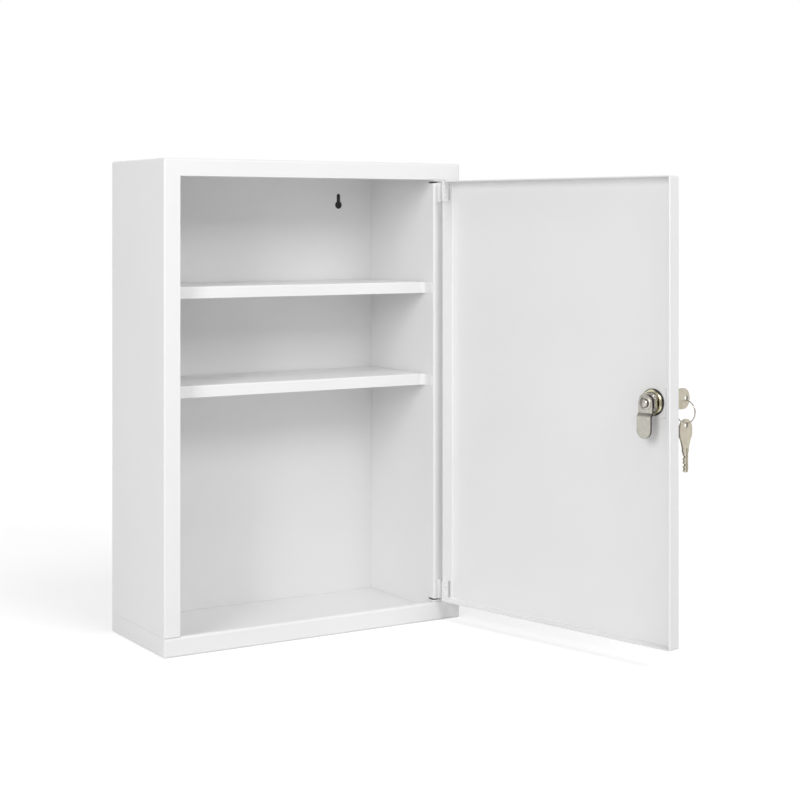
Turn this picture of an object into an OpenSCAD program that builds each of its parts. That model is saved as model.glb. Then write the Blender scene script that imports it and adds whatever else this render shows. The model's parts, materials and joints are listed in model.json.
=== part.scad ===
// Lockable wall cabinet for medicines: a bent-sheet body with a hollow hinge stile, two fixed
// shelves, an inset pan door on concealed pin hinges, and a cam lock with two keys on a ring.
// Frame: X to the right, Y to the back, Z up. The origin is the centre of the base's underside.
// The door is drawn standing open by door_open degrees.

/* [Body] */
// Outside width of the body
body_w = 320; // [280:1:400]
// Outside depth of the body, front frame to wall
body_d = 120; // [100:1:180]
// Outside height of the body
body_h = 450; // [400:1:600]
// Thickness of the body's steel sheet
sheet = 1; // [0.8:0.1:1.2]
// Outside radius of the body's bent edges
bend_r = 2; // [1.6:0.1:3]
// Width of the front frame at the left, the right and the top
frame_w = 16; // [13:1:20]
// Height of the base pan, which is also the front rail
base_h = 18; // [15:1:24]
// Depth of the front rail's box section
rail_d = 7; // [6:0.5:10]
// Radius of the front rail's rounded top edges
rail_r = 2.5; // [1.5:0.5:3]
// Height of the floor's top above the underside
floor_h = 11; // [8:0.5:13]
// Width of the lap where the base pan stands up inside the sides
lap_h = 10; // [6:1:14]

/* [Hinge stile] */
// Width of the hollow stile on the hinge side
stile_w = 30; // [28:1:40]
// Radius of the stile's front bend
stile_r = 2; // [1.6:0.1:3]

/* [Wall holes] */
// Half the distance between the two keyholes
keyhole_x = 92; // [50:1:110]
// Distance of the pair's middle to the left of the back's middle
keyhole_shift = 2; // [0:0.5:4]
// Distance of the keyhole's round part below the top of the body
keyhole_drop = 40; // [30:1:60]
// Radius of the keyhole's round part
keyhole_r = 4; // [3:0.1:5]
// Width of the keyhole's slot
keyhole_slot_w = 4.2; // [3:0.1:5]
// Rise of the slot's round end above the round part
keyhole_rise = 9.5; // [7:0.5:14]

/* [Shelves] */
// Height of the lower shelf's top
lower_shelf_z = 242; // [150:1:260]
// Height of the upper shelf's top
upper_shelf_z = 333; // [290:1:360]
// Height of the shelf's turned-down front and back lips
shelf_lip = 11; // [8:1:16]
// Outside radius of the shelf's bends
shelf_r = 1.5; // [1.3:0.1:3]
// Gap at each end of a shelf and behind it
shelf_gap = 0.8; // [0.5:0.1:0.9]
// Gap between a shelf's front and the lock cam's tip when the door is shut
shelf_cam_gap = 1.8; // [1:0.1:6]
// Width of each leg of the angles that carry a shelf
rest_w = 9; // [6:1:12]
// Thickness of those angles
rest_t = 1.2; // [1:0.1:2]
// Distance of those angles behind the shelf's front and ahead of its back
rest_inset = 6; // [4:1:12]
// Radius of the hollow corner of the gussets between a shelf's front and the walls
gusset_r = 5; // [3:0.5:5]
// Distance of the gussets' front ends behind the body's front
gusset_in = 4.5; // [4.5:0.1:7]

/* [Door] */
// Opening angle at which the door stands
door_open = 103; // [92:1:108]
// Largest opening angle that the hinges and slots leave room for
door_open_max = 112; // [109:1:114]
// Depth of the door pan
door_depth = 14; // [13:0.5:16]
// Thickness of the door's sheet
door_sheet = 1; // [0.8:0.1:1.2]
// Outside radius of the door's bent edges
door_r = 1.8; // [1.4:0.1:2.5]
// Gap between the door and the frame at each side
door_gap = 1.5; // [1.2:0.1:2]
// Gap between the door and the frame at the top and the bottom
door_gap_z = 1.2; // [1:0.1:2]
// Width of the hem where the free edge's return is folded double
hem_w = 5; // [3:0.5:8]

/* [Hinges] */
// Distance of the hinge axis inside the stile's inner wall
axis_in = 10; // [9.5:0.1:11]
// Distance of the hinge axis behind the front
axis_deep = 6.5; // [6.3:0.1:7]
// Radius of the hinge pins
pin_r = 1.5; // [1.2:0.1:1.8]
// Radial running clearance of the leaf on its pin
pin_clear = 0.05; // [0.02:0.01:0.1]
// Outside radius of the leaf's eye
eye_r = 4.2; // [3.4:0.1:4.2]
// Thickness of the leaf's plates
leaf_t = 1.2; // [1:0.1:1.3]
// Width of the leaf's arm
arm_w = 4; // [3.5:0.1:4.2]
// Angle of the arm from the front's plane, door shut
arm_turn = 10; // [10:1:16]
// Height of the leaf's plate on the door
leaf_h = 20; // [16:1:30]
// Width of the leaf's plate on the door
leaf_w = 8.2; // [8:0.1:9]
// Distance that the leaf's plate reaches past the rim of the door pan
leaf_over = 2; // [0:0.1:2.5]
// Distance from the door's end to the leaf
leaf_inset = 0.7; // [0.7:0.1:1]
// Width of the slot in the door's return beside a leaf
leaf_slot_w = 4; // [3:0.1:4]
// Gap above and below the leaf's eye, in the bracket and in the stile's slot
eye_gap = 0.2; // [0.2:0.05:0.3]
// Thickness of the bracket's ears and web
ear_t = 1.4; // [1:0.1:1.4]
// Distance that the bracket's ears reach past the axis
ear_past = 5; // [4:0.5:6]
// Depth of the bracket's ears
ear_d = 8; // [7:0.5:12]
// Height of the pins' heads
pin_head_h = 1.2; // [0.8:0.1:2]
// Radius of the pins' heads
pin_head_r = 2.6; // [2.2:0.1:3.5]
// Radius of the rivets that hold a leaf
rivet_r = 1; // [0.8:0.1:1.3]
// Radius of the rivets' heads
rivet_head_r = 1.8; // [1.5:0.1:2.2]
// Height of the rivets' heads
rivet_head_h = 0.7; // [0.4:0.1:0.8]
// Radius of the half-round covers on the stile at the hinges
cover_r = 2.2; // [1.8:0.1:2.4]
// Length of those covers
cover_h = 18.5; // [12:0.5:24]
// Distance of those covers from the stile's inner wall
cover_in = 7; // [5:0.1:7.5]

/* [Lock] */
// Distance of the lock's axis from the door's free edge
lock_edge = 26.5; // [24:0.5:27]
// Height of the lock's axis above the underside of the body
lock_z = 233; // [200:1:260]
// Side of the square stiffening plate behind the lock
plate_w = 27; // [25:1:32]
// Thickness of the stiffening plate
plate_t = 1.2; // [1:0.1:2]
// Radius of the lock's barrel
barrel_r = 9; // [8.5:0.1:9.5]
// Distance across the barrel's two flats
barrel_flats = 16; // [15:0.5:17]
// Length of the barrel behind the door's front
barrel_l = 11.5; // [9:0.1:12]
// Radius of the lock's bezel
bezel_r = 11; // [10.5:0.1:13]
// Height of the bezel
bezel_h = 5; // [4:0.1:6]
// Chamfer of the bezel
bezel_c = 1.6; // [0.5:0.1:2]
// Thickness of the black washer
washer_t = 1; // [0.6:0.1:1.5]
// Outside radius of the black washer
washer_r = 12; // [11:0.1:13]
// Thickness of the lock nut
nut_t = 2.5; // [2:0.1:3]
// Distance across the lock nut's flats
nut_af = 21.5; // [20.5:0.1:22]
// Clearance of the barrel in the door, the plate, the washer and the nut
barrel_clear = 0.1; // [0.05:0.05:0.2]
// Radius of the lock's plug
plug_r = 6.5; // [6.2:0.1:7]
// Radial running clearance of the plug
plug_clear = 0.05; // [0.02:0.01:0.1]
// Distance that the plug's front stands out of the bezel
plug_proud = 0.2; // [0:0.1:0.5]
// Gap between the end of the barrel and the cam
cam_gap = 0.3; // [0.2:0.1:0.5]
// Side of the square that drives the cam
drive_w = 7; // [6:0.1:7.5]
// Clearance between that square and the cam
drive_clear = 0.05; // [0.03:0.01:0.1]
// Thickness of the cam
cam_t = 1.8; // [1.5:0.1:2.2]
// Width of the cam
cam_w = 15; // [13:0.5:16]
// Length of the cam from the axis to its tip
cam_l = 31; // [30:0.5:34]
// Distance from the axis to the cam's crank
crank_at = 9; // [8:0.5:11]
// Length of the crank's slope
crank_l = 3; // [2:0.5:4]
// Gap between the cam's tip and the edge of the door pan
cam_lip_gap = 0.4; // [0.4:0.1:1]
// Radius of the stud on the plug
stud_r = 2; // [1.6:0.1:2.5]
// Radius of the washer between the cam and its nut
cam_washer_r = 6.1; // [5.5:0.1:7]
// Thickness of that washer
cam_washer_t = 0.7; // [0.5:0.1:0.8]
// Radius of the domed nut that holds the cam
dome_r = 4.2; // [3.8:0.1:5]
// Height of the domed nut
dome_h = 2.8; // [2.4:0.1:3.2]
// Number of wafers
wafers = 4; // [3:1:4]
// Thickness of a wafer
wafer_t = 0.8; // [0.6:0.1:0.9]
// Pitch of the wafers
wafer_pitch = 1.6; // [1.5:0.1:1.8]

/* [Keys] */
// Thickness of a key
key_t = 2; // [1.6:0.1:2.2]
// Height of a key's blade
blade_h = 6.6; // [6:0.1:7]
// Length of a key's blade
blade_l = 18.5; // [17:0.5:22]
// Length of a key's shoulder
neck_l = 8; // [6:0.5:10]
// Height of a key's shoulder
neck_h = 9; // [8:0.5:11]
// Radius of the round ends of a key's bow
bow_r = 9.5; // [9:0.5:10.5]
// Length of a key's bow
bow_l = 22; // [21:0.5:26]
// Radius of the hole in a key's bow
bow_hole_r = 2.6; // [2.2:0.1:3]
// Distance of that hole's centre from the end of the bow
bow_hole_in = 5.5; // [4.5:0.1:6]
// Length of blade that is in the lock
key_in = 2; // [1.5:0.5:6]
// Clearance of the blade in the keyway and the wafers
key_clear = 0.35; // [0.3:0.05:0.4]
// Radius of the key ring, to the middle of its wire
ring_r = 10.5; // [9:0.5:12]
// Radius of the key ring's wire
wire_r = 0.8; // [0.6:0.1:1]
// Gap between the ring and each key's hole
ring_gap = 0.3; // [0.25:0.05:0.4]

/* [Hidden] */
$fn = 48;
eps = 0.01;

// Planes of the body
left_x = -body_w / 2;
right_x = body_w / 2;
front_y = -body_d / 2;
back_y = body_d / 2;
back_in_y = back_y - sheet;

// The opening in the front frame
open_left = left_x + frame_w;
open_top = body_h - frame_w;
stile_x = right_x - stile_w;
rebate_d = door_depth - 1;
seam = 0.1;
fit_gap = 0.2;
lap_y = front_y + rebate_d;
rear_h = floor_h - 3;

// The door, shut
door_x0 = open_left + door_gap;
door_x1 = stile_x - door_gap;
door_z0 = base_h + door_gap_z;
door_z1 = open_top - door_gap_z;

// The hinges
axis_x = stile_x + axis_in;
axis_y = front_y + axis_deep;
leaf_x1 = door_x1 - door_sheet;
leaf_x0 = leaf_x1 - leaf_t;
lower_arm_z = door_z0 + leaf_inset;
upper_arm_z = door_z1 - leaf_inset - leaf_t;
slot_deep = axis_deep + axis_in * tan(arm_turn) + arm_w / 2 / cos(arm_turn) + eye_gap;
arm_open = 180 - arm_turn + door_open_max;
slot_x1 = axis_x + (axis_deep * cos(arm_open) + arm_w / 2) / abs(sin(arm_open)) + eye_gap;
leaf_y1 = front_y + door_depth + leaf_over;
leaf_y0 = leaf_y1 - leaf_w;
leaf_corner = 1.5;
leaf_rivets = [0.3, 0.75];
leaf_slot_end = 1.5;
rivet_tail = 0.4;
notch_y = axis_y + (axis_x - door_x1) * tan(arm_turn) - arm_w / 2 / cos(arm_turn) - eye_gap;
ear_y = front_y + 2 * sheet + fit_gap;
web_h = 22;
cover_end = 0.3;

// The lock
lock_x = door_x0 + lock_edge;
plate_y = front_y + door_sheet;
washer_y = plate_y + plate_t;
nut_y = washer_y + washer_t;
barrel_y = front_y + barrel_l;
cam_y = barrel_y + cam_gap;
tip_y = front_y + door_depth + cam_lip_gap;
dome_y = cam_y + cam_t + cam_washer_t;
plug_y = front_y - bezel_h - plug_proud;
keyway_w = key_t + 2 * key_clear;
keyway_h = blade_h + 2 * key_clear;
keyway_y = cam_y - 1.5;
wafer_w = keyway_w + 1.8;
wafer_h = 2 * plug_r - 2.2;
wafer_y = keyway_y - wafers * wafer_pitch;
wafer_clear = 0.1;
spring_r = 0.4;
spring_h = 2.6;
spring_gap = 0.15;
spring_x = wafer_w / 2 + spring_gap + spring_r;

// The shelves
shelf_y0 = tip_y + cam_t + shelf_cam_gap;
shelf_y1 = back_in_y - shelf_gap;
shelf_x0 = left_x + sheet + shelf_gap;
shelf_x1 = stile_x - shelf_gap;
gusset_foot = 0.1;

// The keys: a key's own X runs from its tip to the end of its bow
key_l = blade_l + neck_l + bow_l;
key_tip_y = plug_y + key_in;
hole_at = key_l - bow_hole_in;
ring_y = key_tip_y - hole_at;
ring_top_z = lock_z - bow_hole_r + wire_r + ring_gap;
ring_z = ring_top_z - ring_r;
spare_hole_z = ring_z - ring_r - bow_hole_r + wire_r + ring_gap;
key_cuts = [1.4, 2.2, 1, 1.8];
cut_pitch = 3.6;
cut_first = 3.4;
cut_half = 1.5;
cut_flat = 0.3;
tip_cut = 1.8;

// A box between two corners
module block(low, high) {
    translate(low) cube(high - low);
}

// A rectangle between two corners; round marks the corners that get the radius r, anticlockwise
// from the low corner
module soft_rect(low, high, r, round = [1, 1, 1, 1]) {
    corners = [low, [high.x, low.y], high, [low.x, high.y]];
    inward = [[1, 1], [-1, 1], [-1, -1], [1, -1]];
    translate([low.x + r, low.y]) square([high.x - low.x - 2 * r, high.y - low.y]);
    translate([low.x, low.y + r]) square([high.x - low.x, high.y - low.y - 2 * r]);
    for (i = [0:3])
        translate(corners[i] + inward[i] * r)
            if (round[i] == 1) circle(r);
            else translate(-inward[i] * r / 2) square(r, center = true);
}

// Extrusions along X, Y and Z of an outline drawn in YZ, XZ and XY
module along_x(x0, x1) {
    translate([x0, 0, 0]) rotate([90, 0, 90]) linear_extrude(x1 - x0) children();
}

module along_y(y0, y1) {
    translate([0, y1, 0]) rotate([90, 0, 0]) linear_extrude(y1 - y0) children();
}

module along_z(z0, z1) {
    translate([0, 0, z0]) linear_extrude(z1 - z0) children();
}

// A block with the bent edges of folded sheet round its front; bottom is 1 where the lower edges
// are bent too
module bent_block(low, high, r, bottom) {
    intersection() {
        along_z(low.z, high.z) soft_rect([low.x, low.y], [high.x, high.y], r, [1, 1, 0, 0]);
        along_y(low.y, high.y)
            soft_rect([low.x, low.z], [high.x, high.z], r, [bottom, bottom, 1, 1]);
        along_x(low.x, high.x)
            soft_rect([low.y, low.z], [high.y, high.z], r, [bottom, 0, 0, 1]);
    }
}

// What hangs on the door is drawn with the door shut and turned about the hinge axis
module on_door() {
    translate([axis_x, axis_y, 0]) rotate([0, 0, door_open]) translate([-axis_x, -axis_y, 0])
        children();
}

// The slot in the stile that a hinge leaf's arm swings in
module arm_slot(arm_z) {
    z0 = arm_z - eye_gap;
    z1 = arm_z + leaf_t + eye_gap;
    block([stile_x - 1, front_y - 1, z0], [slot_x1, front_y + sheet + stile_r, z1]);
    block([stile_x - 1, front_y - 1, z0], [stile_x + sheet + 1, front_y + slot_deep, z1]);
}

module body_shell() {
    color("white") difference() {
        union() {
            difference() {
                bent_block([left_x, front_y, base_h + seam], [right_x, back_y, body_h], bend_r, 0);
                bent_block([left_x + sheet, front_y + sheet, 0],
                    [right_x - sheet, back_y + 1, body_h - sheet], bend_r - sheet, 0);
                block([open_left, front_y - 1, 0], [right_x - frame_w, front_y + bend_r, open_top]);
            }
            block([open_left - sheet, front_y + sheet, base_h + seam],
                [open_left, front_y + rebate_d, open_top + sheet]);
            block([open_left - sheet, front_y + sheet, open_top],
                [stile_x - fit_gap, front_y + rebate_d, open_top + sheet]);
        }
        arm_slot(lower_arm_z);
        arm_slot(upper_arm_z);
    }
}

// The base pan is a tray. Its front is a box-section rail, its sides lap inside the body and its
// low back stands under the back panel.
module base_pan() {
    color("white") {
        intersection() {
            bent_block([left_x, front_y, 0], [right_x, back_y, base_h + bend_r], bend_r, 1);
            union() {
                along_x(left_x, right_x) difference() {
                    soft_rect([front_y, 0], [front_y + rail_d, base_h], rail_r, [0, 0, 1, 1]);
                    soft_rect([front_y + sheet, sheet], [front_y + rail_d - sheet, base_h - sheet],
                        rail_r - sheet, [0, 0, 1, 1]);
                }
                block([left_x, front_y, 0], [right_x, back_y, sheet]);
                for (x = [left_x, right_x - sheet])
                    block([x, front_y, 0], [x + sheet, back_y, base_h]);
                block([left_x, back_in_y, 0], [right_x, back_y, rear_h]);
            }
        }
        for (x = [left_x + sheet, right_x - 2 * sheet])
            block([x, lap_y, sheet], [x + sheet, back_in_y, base_h + lap_h]);
    }
}

// The floor is an inverted tray that stands in the base pan
module floor_panel() {
    x0 = left_x + 2 * sheet + fit_gap;
    x1 = stile_x - fit_gap;
    y0 = front_y + rail_d + fit_gap;
    y1 = back_in_y - fit_gap;
    color("white") difference() {
        block([x0, y0, sheet], [x1, y1, floor_h]);
        block([x0 + sheet, y0 + sheet, 0], [x1 - sheet, y1 - sheet, floor_h - sheet]);
    }
}

// One wall keyhole: a round part with a slot above it
module keyhole() {
    circle(keyhole_r);
    translate([-keyhole_slot_w / 2, 0]) square([keyhole_slot_w, keyhole_rise]);
    translate([0, keyhole_rise]) circle(keyhole_slot_w / 2);
}

module back_panel() {
    color("white") along_y(back_in_y, back_y) difference() {
        soft_rect([left_x + sheet, rear_h + seam], [right_x - sheet, body_h - sheet],
            bend_r - sheet, [0, 0, 1, 1]);
        for (side = [-1, 1])
            translate([side * keyhole_x - keyhole_shift, body_h - keyhole_drop]) keyhole();
    }
}

// The stile's sheet laps behind the front frame, bends back and runs to the back panel
module hinge_stile() {
    x1 = right_x - bend_r - fit_gap;
    color("white") difference() {
        along_z(sheet, body_h - bend_r) difference() {
            soft_rect([stile_x, front_y + sheet], [x1, back_in_y], stile_r, [1, 0, 0, 0]);
            soft_rect([stile_x + sheet, front_y + 2 * sheet], [right_x, back_y], stile_r - sheet,
                [1, 0, 0, 0]);
        }
        block([stile_x - 1, front_y, 0],
            [right_x, front_y + rail_d + fit_gap, base_h + seam]);
        arm_slot(lower_arm_z);
        arm_slot(upper_arm_z);
    }
}

module shelf(top_z) {
    color("white") along_x(shelf_x0, shelf_x1) difference() {
        soft_rect([shelf_y0, top_z - shelf_lip], [shelf_y1, top_z], shelf_r, [0, 0, 1, 1]);
        soft_rect([shelf_y0 + sheet, 0], [shelf_y1 - sheet, top_z - sheet], shelf_r - sheet,
            [0, 0, 1, 1]);
    }
}

module lower_shelf() {
    shelf(lower_shelf_z);
}

module upper_shelf() {
    shelf(upper_shelf_z);
}

// The two angles under a shelf, one on the side and one on the stile
module shelf_rests(top_z) {
    z1 = top_z - sheet;
    color("white") for (side = [-1, 1]) {
        wall = side < 0 ? left_x + sheet : stile_x;
        upright = [min(wall, wall - side * rest_t), max(wall, wall - side * rest_t)];
        level = [min(wall, wall - side * rest_w), max(wall, wall - side * rest_w)];
        block([upright[0], shelf_y0 + rest_inset, z1 - rest_w],
            [upright[1], shelf_y1 - rest_inset, z1]);
        block([level[0], shelf_y0 + rest_inset, z1 - rest_t],
            [level[1], shelf_y1 - rest_inset, z1]);
    }
}

// A gusset at each end of each shelf's front lip joins it to the wall, round a hollow corner
module shelf_gussets() {
    y0 = front_y + gusset_in;
    color("white") for (top_z = [lower_shelf_z, upper_shelf_z])
        along_z(top_z - shelf_lip, top_z) difference() {
            for (x = [left_x + sheet, stile_x - sheet - gusset_r])
                translate([x, y0]) square([gusset_r + sheet, shelf_y0 - y0]);
            soft_rect([left_x + 2 * sheet, front_y - gusset_r],
                [stile_x - sheet, shelf_y0 - gusset_foot], gusset_r, [0, 0, 1, 1]);
        }
}

module lower_shelf_rests() {
    shelf_rests(lower_shelf_z);
}

module upper_shelf_rests() {
    shelf_rests(upper_shelf_z);
}

// A bracket has two ears that hold the pin above and below the leaf's eye. Its web lies on the
// body's side, and runs up where up is 1 and down where up is -1.
module hinge_bracket(arm_z, up) {
    low_ear = arm_z - eye_gap - ear_t;
    high_ear = arm_z + leaf_t + eye_gap;
    wall = right_x - sheet;
    color("gainsboro") difference() {
        union() {
            for (z = [low_ear, high_ear])
                block([axis_x - ear_past, ear_y, z], [wall, ear_y + ear_d, z + ear_t]);
            block([wall - ear_t, ear_y, up > 0 ? low_ear : high_ear + ear_t - web_h],
                [wall, ear_y + ear_d, up > 0 ? low_ear + web_h : high_ear + ear_t]);
        }
        translate([axis_x, axis_y, low_ear - 1])
            cylinder(r = pin_r + pin_clear, h = high_ear - low_ear + ear_t + 2);
    }
}

module lower_hinge_bracket() {
    hinge_bracket(lower_arm_z, 1);
}

module upper_hinge_bracket() {
    hinge_bracket(upper_arm_z, -1);
}

module hinge_pin(arm_z) {
    z0 = arm_z - eye_gap - ear_t;
    z1 = arm_z + leaf_t + eye_gap + ear_t;
    color("silver") translate([axis_x, axis_y, 0]) {
        translate([0, 0, z0]) cylinder(r = pin_r, h = z1 - z0 + pin_head_h / 2);
        translate([0, 0, z1]) cylinder(r = pin_head_r, h = pin_head_h);
    }
}

module lower_hinge_pin() {
    hinge_pin(lower_arm_z);
}

module upper_hinge_pin() {
    hinge_pin(upper_arm_z);
}

// The height of a leaf's lower end: the lower leaf runs up from its arm, the upper one down
function leaf_z(arm_z, up) = up > 0 ? arm_z : arm_z + leaf_t - leaf_h;

// A leaf is a plate on the door's return and an arm with an eye, at right angles to it
module hinge_leaf(arm_z, up) {
    z0 = leaf_z(arm_z, up);
    color("gainsboro") on_door() difference() {
        union() {
            along_x(leaf_x0, leaf_x1)
                soft_rect([leaf_y0, z0], [leaf_y1, z0 + leaf_h], leaf_corner,
                    up > 0 ? [0, 0, 1, 1] : [1, 1, 0, 0]);
            along_z(arm_z, arm_z + leaf_t) {
                translate([axis_x, axis_y]) circle(eye_r);
                intersection() {
                    translate([axis_x, axis_y]) rotate(180 - arm_turn) translate([0, -arm_w / 2])
                        square([2 * axis_in, arm_w]);
                    translate([leaf_x0, front_y]) square([2 * axis_in, 2 * door_depth]);
                }
            }
        }
        translate([axis_x, axis_y, arm_z - 1]) cylinder(r = pin_r + pin_clear, h = leaf_t + 2);
        rivet_holes(z0);
    }
}

module lower_hinge_leaf() {
    hinge_leaf(lower_arm_z, 1);
}

module upper_hinge_leaf() {
    hinge_leaf(upper_arm_z, -1);
}

// The places of a leaf's rivets
module at_rivets(z0) {
    for (share = leaf_rivets)
        translate([0, (leaf_y0 + leaf_y1) / 2, z0 + share * leaf_h]) rotate([0, 90, 0])
            children();
}

module rivet_holes(z0) {
    at_rivets(z0) translate([0, 0, leaf_x0 - 1])
        cylinder(r = rivet_r, h = door_x1 - leaf_x0 + 2);
}

module hinge_rivets() {
    color("silver") on_door()
        for (z0 = [leaf_z(lower_arm_z, 1), leaf_z(upper_arm_z, -1)]) at_rivets(z0) {
            translate([0, 0, leaf_x0 - rivet_head_h])
                cylinder(r1 = rivet_head_r - rivet_head_h, r2 = rivet_head_r, h = rivet_head_h);
            translate([0, 0, leaf_x0 - eps]) cylinder(r = rivet_r, h = door_x1 - leaf_x0 + 2 * eps);
            translate([0, 0, door_x1]) cylinder(r = rivet_head_r, h = rivet_tail);
        }
}

// A half-round cover stands on the stile beside each leaf's slot
module hinge_covers() {
    low_slot = lower_arm_z + leaf_t + eye_gap;
    high_slot = upper_arm_z - eye_gap;
    color("white") for (z0 = [low_slot + cover_end, high_slot - cover_end - cover_h])
        along_z(z0, z0 + cover_h) intersection() {
            translate([stile_x + cover_in, front_y + sheet]) circle(cover_r);
            translate([stile_x, front_y + sheet - 2 * cover_r])
                square([stile_w, 2 * cover_r]);
        }
}

// The barrel's outline, a circle with two flats, grown by a clearance
module barrel_outline(grow) {
    translate([lock_x, lock_z]) intersection() {
        circle(barrel_r + grow);
        square([barrel_flats + 2 * grow, 4 * barrel_r], center = true);
    }
}

// The door is a pan of folded sheet. Its corners on the hinge side are notched for the leaves'
// arms, with a slot beside each leaf. The return at its free edge is hemmed, with a round fold.
module door_panel() {
    rim_y = front_y + door_depth;
    low_z = lower_arm_z + leaf_t + eye_gap;
    high_z = upper_arm_z - eye_gap;
    color("white") on_door() difference() {
        bent_block([door_x0, front_y, door_z0], [door_x1, rim_y, door_z1], door_r, 1);
        difference() {
            bent_block([door_x0 + door_sheet, front_y + door_sheet, door_z0 + door_sheet],
                [door_x1 - door_sheet, rim_y + body_d, door_z1 - door_sheet],
                door_r - door_sheet, 1);
            block([door_x0, rim_y - hem_w, door_z0], [door_x0 + 2 * door_sheet, rim_y, door_z1]);
        }
        along_z(door_z0 - 1, door_z1 + 1) difference() {
            translate([door_x0 - 1, rim_y - door_sheet])
                square([2 * door_sheet + 1, door_sheet + 1]);
            translate([door_x0 + door_sheet, rim_y - door_sheet]) circle(door_sheet);
        }
        along_y(front_y - 1, plate_y + 1) barrel_outline(barrel_clear);
        for (z = [[door_z0 - 1, low_z], [high_z, door_z1 + 1]])
            block([leaf_x0 - fit_gap, notch_y, z[0]], [door_x1 + 1, rim_y + 1, z[1]]);
        for (z = [[low_z + leaf_slot_end, lower_arm_z + leaf_h - leaf_slot_end],
            [leaf_z(upper_arm_z, -1) + leaf_slot_end, high_z - leaf_slot_end]])
            block([leaf_x1 - eps, leaf_y0 - leaf_slot_w, z[0]], [door_x1 + 1, leaf_y0, z[1]]);
        rivet_holes(leaf_z(lower_arm_z, 1));
        rivet_holes(leaf_z(upper_arm_z, -1));
    }
}

module lock_plate() {
    half = [plate_w / 2, plate_w / 2];
    color("white") on_door() along_y(plate_y, washer_y) difference() {
        soft_rect([lock_x, lock_z] - half, [lock_x, lock_z] + half, 1);
        barrel_outline(barrel_clear);
    }
}

module lock_housing() {
    color("silver") on_door() difference() {
        union() {
            translate([lock_x, front_y, lock_z]) rotate([90, 0, 0]) rotate_extrude()
                polygon([[0, 0], [bezel_r, 0], [bezel_r, bezel_h - bezel_c],
                    [bezel_r - bezel_c, bezel_h], [0, bezel_h]]);
            along_y(front_y - eps, barrel_y) barrel_outline(0);
        }
        plug_cylinder(plug_r + plug_clear, front_y - bezel_h - 1, barrel_y + 1);
    }
}

// A cylinder on the lock's axis
module plug_cylinder(r, y0, y1) {
    translate([lock_x, y1, lock_z]) rotate([90, 0, 0]) cylinder(r = r, h = y1 - y0);
}

module lock_washer() {
    color("black") on_door() along_y(washer_y, nut_y) difference() {
        translate([lock_x, lock_z]) circle(washer_r);
        barrel_outline(barrel_clear);
    }
}

module lock_nut() {
    color("darkkhaki") on_door() difference() {
        along_y(nut_y, nut_y + nut_t) translate([lock_x, lock_z]) intersection() {
            circle(d = nut_af / cos(30), $fn = 6);
            circle(d = nut_af * 1.07);
        }
        plug_cylinder(barrel_r + barrel_clear, nut_y - 1, nut_y + nut_t + 1);
    }
}

// A block on the lock's axis: its width, its height and its ends along the axis
module axis_block(w, h, y0, y1, x = 0) {
    translate([lock_x + x - w / 2, y0, lock_z - h / 2]) cube([w, y1 - y0, h]);
}

module lock_plug() {
    slot_w = wafer_w + 2 * wafer_clear;
    slot_h = wafer_h + 2 * wafer_clear;
    color("silver") on_door() difference() {
        union() {
            plug_cylinder(plug_r, plug_y, cam_y);
            axis_block(drive_w, drive_w, cam_y - eps, cam_y + cam_t - drive_clear);
            plug_cylinder(stud_r, cam_y, dome_y + dome_h / 2);
        }
        axis_block(keyway_w, keyway_h, plug_y - 1, keyway_y);
        for (i = [0:wafers - 1]) {
            y0 = wafer_y + i * wafer_pitch;
            axis_block(slot_w, slot_h, y0, y0 + wafer_t + wafer_clear);
            axis_block(2 * spring_r + 2 * spring_gap, spring_h + 2 * spring_gap, y0,
                y0 + wafer_t + wafer_clear, spring_x);
        }
    }
}

module lock_wafers() {
    color("goldenrod") on_door() for (i = [0:wafers - 1]) {
        y0 = wafer_y + i * wafer_pitch + wafer_clear / 2;
        difference() {
            axis_block(wafer_w, wafer_h, y0, y0 + wafer_t);
            axis_block(keyway_w, keyway_h, y0 - 1, y0 + wafer_t + 1);
        }
    }
}

module wafer_springs() {
    color("dimgray") on_door() for (i = [0:wafers - 1])
        translate([lock_x + spring_x, wafer_y + i * wafer_pitch + (wafer_t + wafer_clear) / 2,
            lock_z - spring_h / 2]) cylinder(r = spring_r, h = spring_h);
}

// The cam hangs down when the lock is open; its crank brings its tip behind the frame's return
module lock_cam() {
    top = lock_z + cam_w / 2;
    bend = lock_z - crank_at;
    low = bend - crank_l;
    tip = lock_z - cam_l;
    color("silver") on_door() difference() {
        intersection() {
            along_x(lock_x - cam_w / 2, lock_x + cam_w / 2)
                polygon([[cam_y, top], [cam_y, bend], [tip_y, low], [tip_y, tip],
                    [tip_y + cam_t, tip], [tip_y + cam_t, low], [cam_y + cam_t, bend],
                    [cam_y + cam_t, top]]);
            along_y(cam_y - 1, tip_y + cam_t + 1) {
                translate([lock_x, lock_z]) circle(cam_w / 2);
                translate([lock_x, tip + cam_w / 2]) circle(cam_w / 2);
                translate([lock_x - cam_w / 2, tip + cam_w / 2])
                    square([cam_w, cam_l - cam_w / 2]);
            }
        }
        axis_block(drive_w + 2 * drive_clear, drive_w + 2 * drive_clear, cam_y - 1, dome_y + 1);
    }
}

module cam_washer() {
    color("silver") on_door() difference() {
        plug_cylinder(cam_washer_r, cam_y + cam_t, dome_y);
        plug_cylinder(stud_r + drive_clear, cam_y, dome_y + 1);
    }
}

module cam_nut() {
    crown = 0.55 * dome_h;
    ball_r = (dome_r * dome_r + crown * crown) / (2 * crown);
    color("silver") on_door() translate([lock_x, dome_y, lock_z]) rotate([-90, 0, 0])
        difference() {
            rotate_extrude() intersection() {
                translate([0, dome_h - ball_r]) circle(ball_r, $fn = 96);
                square([dome_r, dome_h]);
            }
            translate([0, 0, -1]) cylinder(r = stud_r + drive_clear, h = dome_h / 2 + 1.1);
        }
}

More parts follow.
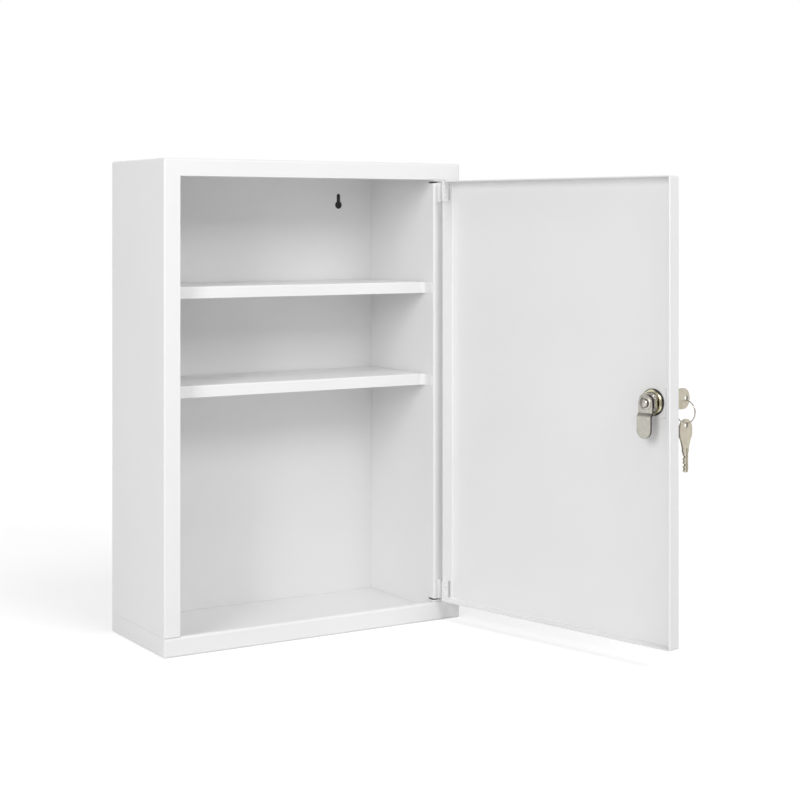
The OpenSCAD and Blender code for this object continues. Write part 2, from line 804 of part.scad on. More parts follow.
// A key's outline along X, from its tip to the end of its bow
module key_outline() {
    bow_x = key_l - bow_l + bow_r;
    difference() {
        union() {
            polygon([[0, tip_cut - blade_h / 2], [tip_cut, -blade_h / 2], [blade_l, -blade_h / 2],
                [blade_l, blade_h / 2], [tip_cut, blade_h / 2], [0, blade_h / 2 - tip_cut]]);
            polygon([[blade_l, -neck_h / 2], [blade_l + neck_l / 2, -neck_h / 2],
                [bow_x - bow_r / 2, -0.86 * bow_r], [bow_x - bow_r / 2, 0.86 * bow_r],
                [blade_l + neck_l / 2, neck_h / 2], [blade_l, neck_h / 2]]);
            for (x = [bow_x, key_l - bow_r]) translate([x, 0]) circle(bow_r);
            translate([bow_x, -bow_r]) square([key_l - bow_r - bow_x, 2 * bow_r]);
        }
        translate([hole_at, 0]) circle(bow_hole_r);
        for (i = [0:len(key_cuts) - 1])
            translate([cut_first + i * cut_pitch, blade_h / 2])
                polygon([[-cut_half, eps], [-cut_flat, -key_cuts[i]], [cut_flat, -key_cuts[i]],
                    [cut_half, eps]]);
    }
}

module key() {
    color("tan") on_door() translate([lock_x, key_tip_y, lock_z]) rotate([90, 0, -90])
        linear_extrude(key_t, center = true) key_outline();
}

module key_ring() {
    color("silver") on_door() translate([lock_x, ring_y, ring_z]) rotate([90, 0, 0])
        rotate_extrude() translate([ring_r, 0]) circle(wire_r);
}

// The spare key hangs on the ring with its bow up
module spare_key() {
    color("tan") on_door() translate([lock_x, ring_y, spare_hole_z]) rotate([0, -90, 0])
        translate([-hole_at, 0, 0]) linear_extrude(key_t, center = true) key_outline();
}

body_shell();
base_pan();
floor_panel();
back_panel();
hinge_stile();
lower_shelf();
upper_shelf();
lower_shelf_rests();
upper_shelf_rests();
shelf_gussets();
lower_hinge_bracket();
upper_hinge_bracket();
lower_hinge_pin();
upper_hinge_pin();
lower_hinge_leaf();
upper_hinge_leaf();
hinge_rivets();
hinge_covers();
door_panel();
lock_plate();
lock_housing();
lock_washer();
lock_nut();
lock_plug();
lock_wafers();
wafer_springs();
lock_cam();
cam_washer();
cam_nut();
key();
key_ring();
spare_key();
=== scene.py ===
import json
import math

import bmesh
import bpy
from mathutils import Matrix, Vector


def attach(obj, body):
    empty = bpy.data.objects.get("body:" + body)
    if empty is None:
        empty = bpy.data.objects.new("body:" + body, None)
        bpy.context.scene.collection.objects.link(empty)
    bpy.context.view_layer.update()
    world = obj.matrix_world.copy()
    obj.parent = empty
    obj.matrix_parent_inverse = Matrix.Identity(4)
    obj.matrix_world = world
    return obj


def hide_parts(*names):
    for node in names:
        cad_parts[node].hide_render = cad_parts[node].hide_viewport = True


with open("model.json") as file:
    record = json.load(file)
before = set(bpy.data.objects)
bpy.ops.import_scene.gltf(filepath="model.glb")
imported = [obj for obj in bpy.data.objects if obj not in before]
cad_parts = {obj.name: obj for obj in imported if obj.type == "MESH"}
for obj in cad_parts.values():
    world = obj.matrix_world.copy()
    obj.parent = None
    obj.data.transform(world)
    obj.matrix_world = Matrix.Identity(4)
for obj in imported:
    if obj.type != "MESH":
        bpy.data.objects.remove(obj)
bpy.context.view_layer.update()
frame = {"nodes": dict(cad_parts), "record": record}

MM = 0.001

# Sizes and places that part.scad also states, in millimetres
DOOR_OPEN = 103
AXIS = (140, -53.5)
FRONT_Y = -60
LOCK = (-116, 233)
BARREL_R, BARREL_FLAT, BARREL_END = 9, 8, 11.5
BEZEL_R, BEZEL_H = 11, 5
PLUG_BORE = 6.55
NUT_AF, NUT_D0, NUT_D1 = 21.5, 3.2, 5.7
CAM_W, CAM_T, CAM_D, CAM_TIP_D, CAM_L = 15, 1.8, 11.8, 14.4, 31
CRANK_AT, CRANK_L, BEND_L = 9, 3, 0.5
CAM_WASHER_R, CAM_WASHER_D, CAM_WASHER_T = 6.1, 13.6, 0.7
DOME_R, DOME_D, DOME_H = 4.2, 14.3, 2.8
KEY_T, BLADE_L, BLADE_H, NECK_L, NECK_H = 2, 18.5, 6.6, 8, 9
BOW_L, BOW_R, BOW_HOLE_R, BOW_HOLE_IN = 22, 9.5, 2.6, 5.5
KEY_L = BLADE_L + NECK_L + BOW_L
KEY_TIP_D = -3.2
HOLE_AT = KEY_L - BOW_HOLE_IN
RING_R = 10.5
RING_Z = -12
SPARE_HOLE_Z = -24
KEYHOLES = {"left": -94, "right": 90}
KEYHOLE_Z, KEYHOLE_R, KEYHOLE_SLOT_R, KEYHOLE_RISE = 410, 4, 2.1, 9.5


# ---------------------------------------------------------------- placing

def door_matrix():
    """Turns what is drawn with the door shut to where the door stands."""
    axis = Matrix.Translation(Vector((AXIS[0] * MM, AXIS[1] * MM, 0)))
    return axis @ Matrix.Rotation(math.radians(DOOR_OPEN), 4, "Z") @ axis.inverted()


def lock_matrix():
    """Lock coordinates in millimetres: x to the door's hinge side, d behind the front, z up."""
    at = Matrix.Translation(Vector((LOCK[0] * MM, FRONT_Y * MM, LOCK[1] * MM)))
    return door_matrix() @ at @ Matrix.Scale(MM, 4)


# ---------------------------------------------------------------- node materials

class Nodes:
    """A short way to write the node tree of a material or of the world."""

    def __init__(self, owner, output="ShaderNodeOutputMaterial"):
        owner.use_nodes = True
        self.owner = owner
        self.tree = owner.node_tree
        self.tree.nodes.clear()
        self.out = self.add(output)

    def add(self, kind, **settings):
        node = self.tree.nodes.new(kind)
        for key, value in settings.items():
            setattr(node, key, value)
        return node

    def link(self, a, b):
        self.tree.links.new(a, b)

    def noise(self, vector, scale, detail=3, rough=0.5):
        node = self.add("ShaderNodeTexNoise")
        node.inputs["Scale"].default_value = scale
        node.inputs["Detail"].default_value = detail
        node.inputs["Roughness"].default_value = rough
        self.link(vector, node.inputs["Vector"])
        return node.outputs["Fac"]

    def mapping(self, vector, scale, rotation=(0, 0, 0)):
        node = self.add("ShaderNodeMapping")
        node.inputs["Scale"].default_value = scale
        node.inputs["Rotation"].default_value = rotation
        self.link(vector, node.inputs["Vector"])
        return node.outputs["Vector"]

    def ramp(self, value, low, high, from_low=0.0, from_high=1.0):
        node = self.add("ShaderNodeMapRange")
        node.inputs["From Min"].default_value = from_low
        node.inputs["From Max"].default_value = from_high
        node.inputs["To Min"].default_value = low
        node.inputs["To Max"].default_value = high
        self.link(value, node.inputs["Value"])
        return node.outputs["Result"]

    def blend(self, value, dark, color, from_low, from_high):
        """Goes from dark to color, a colour or a socket, as value goes from from_low to from_high."""
        node = self.add("ShaderNodeMix", data_type="RGBA")
        self.link(self.ramp(value, 0, 1, from_low, from_high), node.inputs["Factor"])
        node.inputs["A"].default_value = (*dark, 1)
        if isinstance(color, bpy.types.NodeSocket):
            self.link(color, node.inputs["B"])
        else:
            node.inputs["B"].default_value = (*color, 1)
        return node.outputs["Result"]

    def tint(self, value, dark, light):
        return self.blend(value, dark, light, 0.3, 0.7)

    def dot(self, a):
        """A dot product whose first input is a socket. The second is set by the caller."""
        node = self.add("ShaderNodeVectorMath", operation="DOT_PRODUCT")
        self.link(a, node.inputs[0])
        return node

    def bump(self, height, distance, strength=1.0, normal=None):
        node = self.add("ShaderNodeBump")
        node.inputs["Distance"].default_value = distance
        node.inputs["Strength"].default_value = strength
        self.link(height, node.inputs["Height"])
        if normal is not None:
            self.link(normal, node.inputs["Normal"])
        return node.outputs["Normal"]

    def edge_shade(self, color, dark, radius):
        """Paints shade into the colour along the edges and creases, within about radius of them."""
        bevel = self.add("ShaderNodeBevel", samples=8)
        bevel.inputs["Radius"].default_value = radius
        near = self.dot(bevel.outputs["Normal"])
        self.link(self.add("ShaderNodeNewGeometry").outputs["Normal"], near.inputs[1])
        return self.blend(near.outputs["Value"], dark, color, 0.84, 0.992)

    def side_shade(self, color, dark, facing):
        """Paints shade into the colour on surfaces that turn away from the facing direction."""
        turned = self.dot(self.add("ShaderNodeTexCoord").outputs["Normal"])
        turned.inputs[1].default_value = facing
        size = self.add("ShaderNodeMath", operation="ABSOLUTE")
        self.link(turned.outputs["Value"], size.inputs[0])
        return self.blend(size.outputs["Value"], dark, color, 0.6, 0.95)

    def soft_edges(self, radius):
        node = self.add("ShaderNodeBevel", samples=4)
        node.inputs["Radius"].default_value = radius
        return node.outputs["Normal"]

    def shader(self, color, roughness, normal=None, **sockets):
        node = self.add("ShaderNodeBsdfPrincipled")
        for name, value in (("Base Color", color), ("Roughness", roughness)):
            if isinstance(value, bpy.types.NodeSocket):
                self.link(value, node.inputs[name])
            else:
                node.inputs[name].default_value = value
        for name, value in sockets.items():
            node.inputs[name.replace("_", " ")].default_value = value
        if normal is not None:
            self.link(normal, node.inputs["Normal"])
        self.link(node.outputs["BSDF"], self.out.inputs["Surface"])
        return self.owner

    def place(self):
        return self.add("ShaderNodeTexCoord").outputs["Object"]


def powder_coat():
    """White powder coat: a fine orange peel, a faint wander of tone, and soft painted edges."""
    n = Nodes(bpy.data.materials.new("white_powder_coat"))
    at = n.place()
    color = n.tint(n.noise(at, 9, 2), (0.85, 0.848, 0.85), (0.87, 0.868, 0.869))
    rough = n.ramp(n.noise(at, 60, 3), 0.36, 0.46)
    edges = n.soft_edges(0.35 * MM)
    waves = n.bump(n.noise(at, 420, 2), 0.03 * MM, 0.5, edges)
    peel = n.bump(n.noise(at, 1500, 2), 0.008 * MM, 0.5, waves)
    return n.shader(color, rough, peel, IOR=1.5)


# How much of the dark colour the painted shade keeps, along edges and on surfaces turned away from
# facing
EDGE_PAINTED_SHADE, SIDE_PAINTED_SHADE = 0.2, 0.16


def metal(name, dark, light, rough, grain, scratch=0.004, edge=0.12, rim=0.6, facing=None):
    """Plated metal with a fine drawn grain along Z, uneven plating and painted shade along its edges.

    Where facing is given, the surfaces that turn away from it get painted shade too."""
    n = Nodes(bpy.data.materials.new(name))
    at = n.place()
    streak = n.noise(n.mapping(at, grain), 900, 4, 0.6)
    color = n.tint(n.noise(at, 260, 3), dark, light)
    # Painted shade along the edges and creases
    color = n.edge_shade(color, [EDGE_PAINTED_SHADE * c for c in dark], rim * MM)
    if facing is not None:
        # Painted shade on the surfaces turned away from facing
        color = n.side_shade(color, [SIDE_PAINTED_SHADE * c for c in dark], facing)
    roughness = n.ramp(streak, rough - 0.06, rough + 0.08, 0.3, 0.7)
    edges = n.soft_edges(edge * MM)
    return n.shader(color, roughness, n.bump(streak, scratch * MM, 0.6, edges), Metallic=1.0)


def black_plastic(name, rough):
    n = Nodes(bpy.data.materials.new(name))
    at = n.place()
    color = n.tint(n.noise(at, 300, 3), (0.012, 0.012, 0.013), (0.022, 0.022, 0.022))
    spots = n.noise(at, 1800, 2)
    return n.shader(color, n.ramp(spots, rough - 0.08, rough + 0.08), n.bump(spots, 0.02 * MM, 0.5))


lock_axis = door_matrix().to_3x3() @ Vector((0, 1, 0))
white = powder_coat()
zinc_steel = metal("zinc_plated_steel", (0.50, 0.51, 0.52), (0.60, 0.61, 0.62), 0.30, (1, 1, 0.1))
bright_nickel = metal("bright_nickel", (0.42, 0.39, 0.35), (0.51, 0.48, 0.44), 0.2, (1, 1, 0.2),
                      0.002)
# The cap nut and the cam get painted shade on the faces turned away from the lock's axis
domed_nickel = metal("domed_nickel", (0.46, 0.43, 0.39), (0.56, 0.53, 0.49), 0.16, (1, 1, 0.2),
                     0.002, facing=lock_axis)
satin_nickel = metal("satin_nickel", (0.46, 0.44, 0.39), (0.53, 0.51, 0.46), 0.32, (1, 1, 0.06),
                     rim=0.9, facing=lock_axis)
key_nickel = metal("key_nickel", (0.46, 0.42, 0.34), (0.54, 0.50, 0.41), 0.32, (1, 1, 0.08))
yellow_zinc = metal("yellow_zinc", (0.62, 0.57, 0.36), (0.74, 0.71, 0.55), 0.30, (1, 1, 0.4))
brass = metal("brass", (0.60, 0.44, 0.18), (0.70, 0.54, 0.25), 0.3, (1, 1, 0.2))
washer_black = black_plastic("black_plastic", 0.45)
# Painted shade: the black of the sheets that darken the keyholes
keyhole_shade_black = black_plastic("keyhole_painted_shade", 0.7)

LOOKS = {
    "white_powder_coat": white,
    "zinc_plated_steel": zinc_steel,
    "bright_nickel": bright_nickel,
    "black_plastic": washer_black,
    "yellow_zinc": yellow_zinc,
    "brass": brass,
    "satin_nickel": satin_nickel,
    "key_nickel": key_nickel,
}


# ---------------------------------------------------------------- making pieces

def finish_piece(obj, material, body, replaces=()):
    obj.data.materials.clear()
    obj.data.materials.append(material)
    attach(obj, body)
    if replaces:
        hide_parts(*replaces)
    return obj


def mesh_object(name, bm, matrix, sharp=35):
    bmesh.ops.remove_doubles(bm, verts=bm.verts, dist=1e-5)
    bmesh.ops.recalc_face_normals(bm, faces=bm.faces)
    for face in bm.faces:
        face.smooth = True
    for edge in bm.edges:
        if len(edge.link_faces) == 2:
            edge.smooth = edge.calc_face_angle() < math.radians(sharp)
    mesh = bpy.data.meshes.new(name)
    bm.to_mesh(mesh)
    bm.free()
    mesh.transform(matrix)
    obj = bpy.data.objects.new(name, mesh)
    bpy.context.scene.collection.objects.link(obj)
    return obj


def add_grid(bm, rows, closed_rows=False, closed_cols=True):
    """Joins rows of points with quads."""
    verts = [[bm.verts.new(p) for p in row] for row in rows]
    last_row = len(rows) if closed_rows else len(rows) - 1
    count = len(rows[0])
    last_col = count if closed_cols else count - 1
    for i in range(last_row):
        a, b = verts[i], verts[(i + 1) % len(rows)]
        for j in range(last_col):
            k = (j + 1) % count
            bm.faces.new((a[j], a[k], b[k], b[j]))
    return verts


def add_tube(bm, rows):
    """Joins rows of points with quads and closes both ends."""
    verts = add_grid(bm, rows)
    bm.faces.new(verts[0])
    bm.faces.new(verts[-1])


def around(radius, d, steps=96):
    """A ring of points about the lock's axis. radius may be a number or a function of the angle."""
    ring = []
    for i in range(steps):
        a = 2 * math.pi * i / steps
        r = radius(a) if callable(radius) else radius
        ring.append((r * math.cos(a), d, r * math.sin(a)))
    return ring


def add_lathe(bm, profile, steps=96):
    """A closed ring body from (radius, d) points. Radii may be functions of the angle."""
    add_grid(bm, [around(r, d, steps) for r, d in profile], closed_rows=True)


def bevelled(obj, width, segments=2, angle=40):
    """Applies a bevel to the piece's sharp edges."""
    bevel = obj.modifiers.new("bevel", "BEVEL")
    bevel.width = width
    bevel.segments = segments
    bevel.limit_method = "ANGLE"
    bevel.angle_limit = math.radians(angle)
    return applied(obj)


def applied(obj):
    bpy.context.view_layer.update()
    depsgraph = bpy.context.evaluated_depsgraph_get()
    mesh = bpy.data.meshes.new_from_object(obj.evaluated_get(depsgraph))
    old = obj.data
    obj.modifiers.clear()
    if obj.type == "CURVE":
        made = bpy.data.objects.new(obj.name + "_mesh", mesh)
        bpy.context.scene.collection.objects.link(made)
        bpy.data.objects.remove(obj)
        bpy.data.curves.remove(old)
        return made
    obj.data = mesh
    bpy.data.meshes.remove(old)
    return obj


# ---------------------------------------------------------------- lock

def make_housing():
    """The bezel outside the door and the threaded barrel behind it, with its two flats."""
    bm = bmesh.new()
    add_lathe(bm, [
        (PLUG_BORE, 0), (BEZEL_R, 0), (BEZEL_R, -BEZEL_H + 2.1),
        (BEZEL_R - 0.15, -BEZEL_H + 1.75), (BEZEL_R - 0.6, -BEZEL_H + 1.1),
        (BEZEL_R - 1.25, -BEZEL_H + 0.45), (BEZEL_R - 1.8, -BEZEL_H + 0.12),
        (BEZEL_R - 2.4, -BEZEL_H), (BEZEL_R - 3.2, -BEZEL_H + 0.04), (7.35, -BEZEL_H + 0.3),
        (6.9, -BEZEL_H + 0.38), (PLUG_BORE, -BEZEL_H + 0.5)])
    pitch, depth = 1.0, 0.34

    def thread(d):
        def radius(a):
            turn = (d / pitch - a / (2 * math.pi)) % 1.0
            r = BARREL_R - depth * abs(2 * turn - 1)
            return min(r, BARREL_FLAT / max(abs(math.cos(a)), 1e-6))
        return radius

    steps = 64
    rows = [around(thread(d * BARREL_END / steps), d * BARREL_END / steps, 120)
            for d in range(steps + 1)]
    rows.append(around(PLUG_BORE, BARREL_END, 120))
    rows.append(around(PLUG_BORE, 0, 120))
    add_grid(bm, rows, closed_rows=True)
    obj = mesh_object("lock_housing_threaded", bm, lock_matrix(), 30)
    return finish_piece(obj, bright_nickel, "door", ["lock_housing"])


def make_nut():
    """The lock nut: a thin hexagon with chamfered corners."""
    half = NUT_AF / 2

    def hexagon(limit):
        def radius(a):
            off = (a + math.pi / 6) % (math.pi / 3) - math.pi / 6
            return min(half / math.cos(off), limit)
        return radius

    bore = BARREL_R + 0.1
    bm = bmesh.new()
    add_lathe(bm, [
        (bore, NUT_D0 + 0.3), (bore + 0.3, NUT_D0), (hexagon(half - 0.1), NUT_D0),
        (hexagon(11.5), NUT_D0 + 0.45), (hexagon(11.5), NUT_D1 - 0.45),
        (hexagon(half - 0.1), NUT_D1), (bore + 0.3, NUT_D1), (bore, NUT_D1 - 0.3)], 144)
    obj = mesh_object("lock_nut_chamfered", bm, lock_matrix(), 25)
    return finish_piece(obj, yellow_zinc, "door", ["lock_nut"])


def cam_line():
    """Points (z, d) of the cam's middle line from its top end to its tip, with rounded bends."""
    first, last = CAM_D + CAM_T / 2, CAM_TIP_D + CAM_T / 2
    corners = [(CAM_W / 2, first), (-CRANK_AT, first), (-CRANK_AT - CRANK_L, last), (-CAM_L, last)]
    line = [corners[0]]
    for before, corner, after in zip(corners, corners[1:], corners[2:]):
        a, c, b = Vector(before), Vector(corner), Vector(after)
        p, q = c + (a - c).normalized() * BEND_L, c + (b - c).normalized() * BEND_L
        for i in range(7):
            t = i / 6
            point = p.lerp(c, t).lerp(c.lerp(q, t), t)
            line.append((point.x, point.y))
    line.append(corners[-1])
    return [Vector(p) for p in line]


def make_cam():
    """The cranked cam, bent from a plate with rounded ends."""
    line = cam_line()
    fine = []
    for a, b in zip(line, line[1:]):
        cuts = max(1, math.ceil((b - a).length / 0.5))
        fine += [a.lerp(b, i / cuts) for i in range(cuts)]
    fine.append(line[-1])
    top, low, r = CAM_W / 2, -CAM_L, CAM_W / 2

    def half_width(z):
        if z > 0:
            return math.sqrt(max(r * r - z * z, 0))
        end = low + r
        if z < end:
            return math.sqrt(max(r * r - (z - end) ** 2, 0))
        return r

    bm = bmesh.new()
    rows = []
    for i, p in enumerate(fine):
        along = (fine[min(i + 1, len(fine) - 1)] - fine[max(i - 1, 0)]).normalized()
        side = Vector((-along.y, along.x)) * CAM_T / 2
        if side.y < 0:
            side = -side
        w = max(half_width(p.x), 0.35)
        outer, inner = p + side, p - side
        xs = [w * t for t in (-1, -0.6, -0.2, 0.2, 0.6, 1)]
        row = [(x, outer.y, outer.x) for x in xs] + [(x, inner.y, inner.x) for x in reversed(xs)]
        rows.append(row)
    add_tube(bm, rows)
    obj = mesh_object("lock_cam_cranked", bm, lock_matrix(), 50)
    obj = bevelled(obj, 0.28 * MM, 2, 50)
    return finish_piece(obj, satin_nickel, "plug", ["lock_cam"])


def make_cam_washer():
    """A thin ring with rounded edges between the cam and its nut."""
    bm = bmesh.new()
    low, high, edge = CAM_WASHER_D, CAM_WASHER_D + CAM_WASHER_T, 0.2
    add_lathe(bm, [
        (2.1, low), (CAM_WASHER_R - edge, low), (CAM_WASHER_R, low + edge),
        (CAM_WASHER_R, high - edge), (CAM_WASHER_R - edge, high), (2.1, high)], 96)
    obj = mesh_object("cam_washer_rounded", bm, lock_matrix(), 50)
    return finish_piece(obj, bright_nickel, "plug", ["cam_washer"])


def make_dome():
    """The cap nut that holds the cam: a short neck under a round crown."""
    bm = bmesh.new()
    skirt = DOME_D + 0.9
    profile = [(0.01, DOME_D), (DOME_R - 0.2, DOME_D), (DOME_R, DOME_D + 0.2), (DOME_R, skirt)]
    for i in range(1, 13):
        a = math.pi / 2 * i / 12
        profile.append((max(DOME_R * math.cos(a), 0.01),
                        skirt + (DOME_D + DOME_H - skirt) * math.sin(a)))
    add_lathe(bm, profile, 72)
    obj = mesh_object("cam_cap_nut", bm, lock_matrix(), 50)
    return finish_piece(obj, domed_nickel, "plug", ["cam_nut"])


# ---------------------------------------------------------------- keys

CUTS = [1.4, 2.2, 1.0, 1.8]
CUT_FIRST, CUT_PITCH = 3.4, 3.6


def key_outline():
    """A key's outline from its tip at 0 to its bow, with the cuts on its upper edge."""
    half = BLADE_H / 2
    points = [(0, -0.9), (0.5, -half + 1.1), (1.8, -half), (BLADE_L, -half),
              (BLADE_L, -NECK_H / 2), (BLADE_L + NECK_L / 2, -NECK_H / 2)]
    bow_x = KEY_L - BOW_L + BOW_R
    for i in range(0, 13):
        a = math.radians(-132 + 42 * i / 12)
        points.append((bow_x + BOW_R * math.cos(a), BOW_R * math.sin(a)))
    for i in range(0, 33):
        a = math.radians(-90 + 180 * i / 32)
        points.append((KEY_L - BOW_R + BOW_R * math.cos(a), BOW_R * math.sin(a)))
    for i in range(0, 13):
        a = math.radians(90 + 42 * i / 12)
        points.append((bow_x + BOW_R * math.cos(a), BOW_R * math.sin(a)))
    points += [(BLADE_L + NECK_L / 2, NECK_H / 2), (BLADE_L, NECK_H / 2), (BLADE_L, half)]
    for i in reversed(range(len(CUTS))):
        x = CUT_FIRST + i * CUT_PITCH
        points += [(x + 1.5, half), (x + 0.35, half - CUTS[i]), (x - 0.35, half - CUTS[i]),
                   (x - 1.5, half)]
    points += [(1.8, half), (0.5, half - 1.1), (0, 0.9)]
    return points


def key_mesh(name):
    """A key with bevelled edges and its hole."""
    curve = bpy.data.curves.new(name, "CURVE")
    curve.dimensions = "2D"
    curve.fill_mode = "BOTH"
    hole = [(HOLE_AT + BOW_HOLE_R * math.cos(math.radians(i * 7.5)),
             BOW_HOLE_R * math.sin(math.radians(i * 7.5))) for i in range(48)]
    for loop in (key_outline(), hole):
        spline = curve.splines.new("POLY")
        spline.points.add(len(loop) - 1)
        for point, (x, y) in zip(spline.points, loop):
            point.co = (x, y, 0, 1)
        spline.use_cyclic_u = True
    edge = 0.18
    curve.extrude = KEY_T / 2 - edge
    curve.bevel_depth = edge
    curve.bevel_resolution = 2
    curve.offset = -edge
    obj = bpy.data.objects.new(name, curve)
    bpy.context.scene.collection.objects.link(obj)
    obj = applied(obj)
    obj.name = name
    return obj


def cut_groove(obj):
    """Mills a groove into each side of the blade, ending in the shoulder."""
    for side in (-1, 1):
        bm = bmesh.new()
        y0, y1 = (-1.6, -0.2) if side > 0 else (-0.9, 0.5)
        ends = (-1, BLADE_L + NECK_L * 0.45)
        low, high = (KEY_T / 2 - 0.45) * side, (KEY_T / 2 + 1) * side
        rows = []
        for x in ends:
            rows.append([(x, y0 + 0.2, low), (x, y1 - 0.2, low), (x, y1 + 0.3, high),
                         (x, y0 - 0.3, high)])
        add_tube(bm, rows)
        cutter = mesh_object("cutter", bm, Matrix.Identity(4))
        cut = obj.modifiers.new("groove", "BOOLEAN")
        cut.operation = "DIFFERENCE"
        cut.solver = "EXACT"
        cut.object = cutter
        obj = applied(obj)
        bpy.data.objects.remove(cutter)
    return obj


def place_key(name, matrix, body, node):
    obj = cut_groove(key_mesh(name))
    obj.data.transform(lock_matrix() @ matrix)
    obj.data.polygons.foreach_set("use_smooth", [False] * len(obj.data.polygons))
    return finish_piece(obj, key_nickel, body, [node])


def make_keys():
    """One key in the lock with its bow outside, and the spare hanging bow up from the ring."""
    in_lock = Matrix(((0, 0, -1, 0), (-1, 0, 0, KEY_TIP_D), (0, 1, 0, 0), (0, 0, 0, 1)))
    ring_d = KEY_TIP_D - HOLE_AT
    hanging = Matrix(((0, 0, -1, 0), (0, 1, 0, ring_d), (1, 0, 0, SPARE_HOLE_Z - HOLE_AT),
                      (0, 0, 0, 1)))
    place_key("key_in_lock", in_lock, "key", "key")
    place_key("key_hanging", hanging, "spare", "spare_key")


def make_ring():
    """A split ring: a round wire wound nearly twice, with its two ends showing."""
    ring_d = KEY_TIP_D - HOLE_AT
    turns, steps = 1.94, 190
    wire, lift = 0.39, 0.4
    rows = []
    start = math.radians(20)
    for i in range(steps + 1):
        t = i / steps
        a = start + 2 * math.pi * turns * t
        along = 2 * lift * min(max((t - 0.44) / 0.12, 0), 1) - lift
        rows.append([
            ((RING_R + wire * math.cos(b)) * math.cos(a), ring_d + along + wire * math.sin(b),
             RING_Z + (RING_R + wire * math.cos(b)) * math.sin(a))
            for b in (2 * math.pi * k / 12 for k in range(12))])
    bm = bmesh.new()
    add_tube(bm, rows)
    obj = mesh_object("key_ring_split", bm, lock_matrix(), 50)
    return finish_piece(obj, bright_nickel, "ring", ["key_ring"])


# ---------------------------------------------------------------- keyholes

def make_keyhole_shade_sheets():
    """A thin black sheet inside each keyhole of the back panel: painted shade where the hole looks
    into shadow.
    """
    start = math.asin(KEYHOLE_SLOT_R / KEYHOLE_R)
    outline = []
    for i in range(41):
        a = math.pi / 2 + start + (2 * math.pi - 2 * start) * i / 40
        outline.append((KEYHOLE_R * math.cos(a), KEYHOLE_R * math.sin(a)))
    for i in range(17):
        a = math.pi * i / 16
        outline.append((KEYHOLE_SLOT_R * math.cos(a), KEYHOLE_RISE + KEYHOLE_SLOT_R * math.sin(a)))
    middle = 2
    # Depth and share of the outline's size, from the front face over the rim to the rear face
    profile = [(59.35, 0.6), (59.3, 0.97), (59.4, 1.0), (59.7, 1.0), (59.75, 0.97), (59.75, 0.6)]
    for side, x0 in KEYHOLES.items():
        rows = [[(x0 + x * share, y, KEYHOLE_Z + middle + (z - middle) * share) for x, z in outline]
                for y, share in profile]
        bm = bmesh.new()
        add_tube(bm, rows)
        obj = mesh_object("keyhole_shade_sheet_" + side, bm, Matrix.Scale(MM, 4), 50)
        finish_piece(obj, keyhole_shade_black, "cabinet")


# ---------------------------------------------------------------- stage, light and camera

# Metres, as in the rest of this section
LAMP_TARGET = (0, 0, 0.25)
FLOOR_HALF, FLOOR_CUTS, FLOOR_DROP = 40.0, 8, 0.0002
GLOW_FROM, GLOW_TO = 0.44, 0.67
WORLD_LIGHT = 0.415
CAMERA_AT, CAMERA_TURN = (-0.7907, -1.45705, 0.391), -30.72
CAMERA_LENS, CAMERA_SHIFT = 76.4, (0.0559, -0.2208)


def light_switch(n, seen, unseen):
    """Mixes two shaders: one for rays from the camera and mirrors, one that lights the object."""
    path = n.add("ShaderNodeLightPath")
    first = n.add("ShaderNodeMath", operation="MAXIMUM")
    n.link(path.outputs["Is Camera Ray"], first.inputs[0])
    n.link(path.outputs["Is Glossy Ray"], first.inputs[1])
    both = n.add("ShaderNodeMath", operation="MAXIMUM")
    n.link(first.outputs[0], both.inputs[0])
    n.link(path.outputs["Is Transmission Ray"], both.inputs[1])
    mix = n.add("ShaderNodeMixShader")
    n.link(both.outputs[0], mix.inputs[0])
    n.link(unseen, mix.inputs[1])
    n.link(seen, mix.inputs[2])
    return mix.outputs[0]


def make_floor():
    """A pale floor that shows the object's shadow near it and runs into white further out."""
    bm = bmesh.new()
    marks = [FLOOR_HALF * (2 * i / FLOOR_CUTS - 1) for i in range(FLOOR_CUTS + 1)]
    add_grid(bm, [[(x, y, 0) for x in marks] for y in marks], closed_cols=False)
    floor = mesh_object("floor", bm, Matrix.Translation((0, 0, -FLOOR_DROP)))
    n = Nodes(bpy.data.materials.new("floor_white"))
    diffuse = n.add("ShaderNodeBsdfDiffuse")
    diffuse.inputs["Color"].default_value = (0.8, 0.8, 0.8, 1)
    glow = n.add("ShaderNodeEmission")
    reach = n.add("ShaderNodeVectorMath", operation="LENGTH")
    n.link(n.place(), reach.inputs[0])
    n.link(n.ramp(reach.outputs["Value"], GLOW_FROM, GLOW_TO, 0.2, 1.3), glow.inputs["Strength"])
    add = n.add("ShaderNodeAddShader")
    n.link(diffuse.outputs[0], add.inputs[0])
    n.link(glow.outputs[0], add.inputs[1])
    n.link(light_switch(n, add.outputs[0], diffuse.outputs[0]), n.out.inputs["Surface"])
    floor.data.materials.append(n.owner)


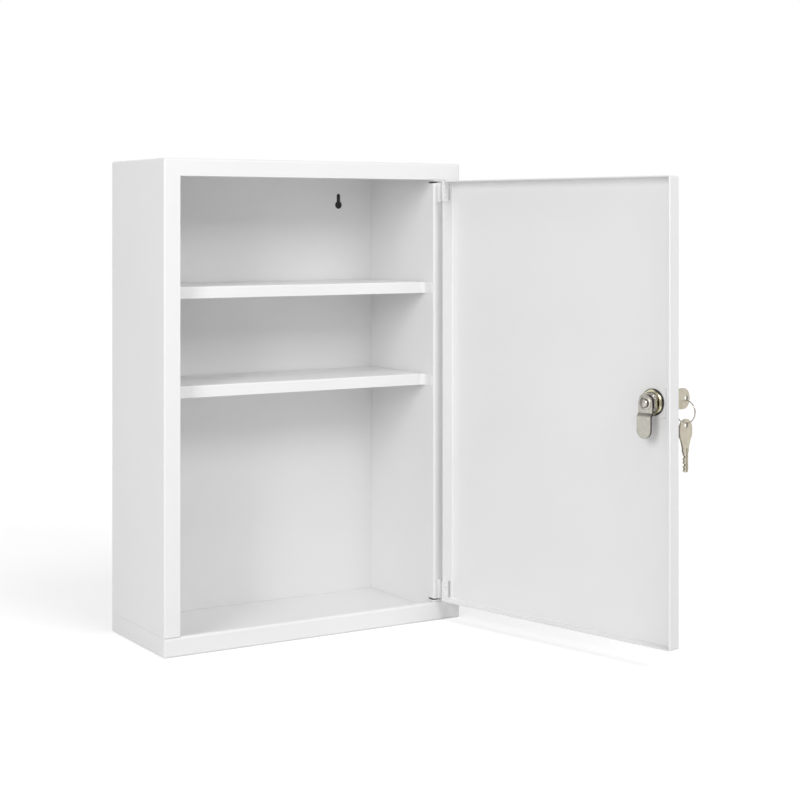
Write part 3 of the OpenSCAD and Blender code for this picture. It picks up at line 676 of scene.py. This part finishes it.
def make_world():
    """White where the camera or a mirror sees it, and a level light on everything else."""
    world = bpy.data.worlds.new("studio")
    bpy.context.scene.world = world
    n = Nodes(world, "ShaderNodeOutputWorld")
    seen = n.add("ShaderNodeBackground")
    seen.inputs["Strength"].default_value = 1.0
    lit = n.add("ShaderNodeBackground")
    lit.inputs["Strength"].default_value = WORLD_LIGHT
    for node in (seen, lit):
        node.inputs["Color"].default_value = (1, 1, 1, 1)
    n.link(light_switch(n, seen.outputs[0], lit.outputs[0]), n.out.inputs["Surface"])


def make_lamp(name, turn, rise, distance, size, power):
    """An area lamp that faces the cabinet from turn degrees right of the front, rise degrees up."""
    lamp = bpy.data.lights.new(name, "AREA")
    lamp.shape = "RECTANGLE"
    lamp.size, lamp.size_y = size
    lamp.energy = power
    a, b = math.radians(turn), math.radians(rise)
    away = Vector((math.cos(b) * math.sin(a), -math.cos(b) * math.cos(a), math.sin(b)))
    obj = bpy.data.objects.new(name, lamp)
    obj.location = Vector(LAMP_TARGET) + away * distance
    obj.rotation_euler = (-away).to_track_quat("-Z", "Y").to_euler()
    bpy.context.scene.collection.objects.link(obj)


def make_camera():
    """A level camera at the photograph's viewing angle."""
    camera = bpy.data.cameras.new("camera")
    camera.sensor_width = 36
    camera.lens = CAMERA_LENS
    camera.shift_x, camera.shift_y = CAMERA_SHIFT
    obj = bpy.data.objects.new("camera", camera)
    obj.location = CAMERA_AT
    obj.rotation_euler = (math.radians(90), 0, math.radians(CAMERA_TURN))
    bpy.context.scene.collection.objects.link(obj)
    bpy.context.scene.camera = obj


slots = {part["node"]: part["material_slot"] for part in frame["record"]["subparts"]}
for node, obj in frame["nodes"].items():
    obj.data.materials.clear()
    obj.data.materials.append(LOOKS[slots[node]])

make_housing()
make_nut()
make_cam()
make_cam_washer()
make_dome()
make_keys()
make_ring()
make_keyhole_shade_sheets()
make_floor()
make_world()
make_lamp("front_light", 12, 30, 2.2, (1.0, 0.6), 12)
make_lamp("left_light", -57, 20, 2.4, (0.7, 1.2), 21)
make_lamp("top_light", 5, 60, 2.2, (0.8, 0.6), 6)
make_camera()
bpy.context.scene.view_settings.view_transform = "Standard"
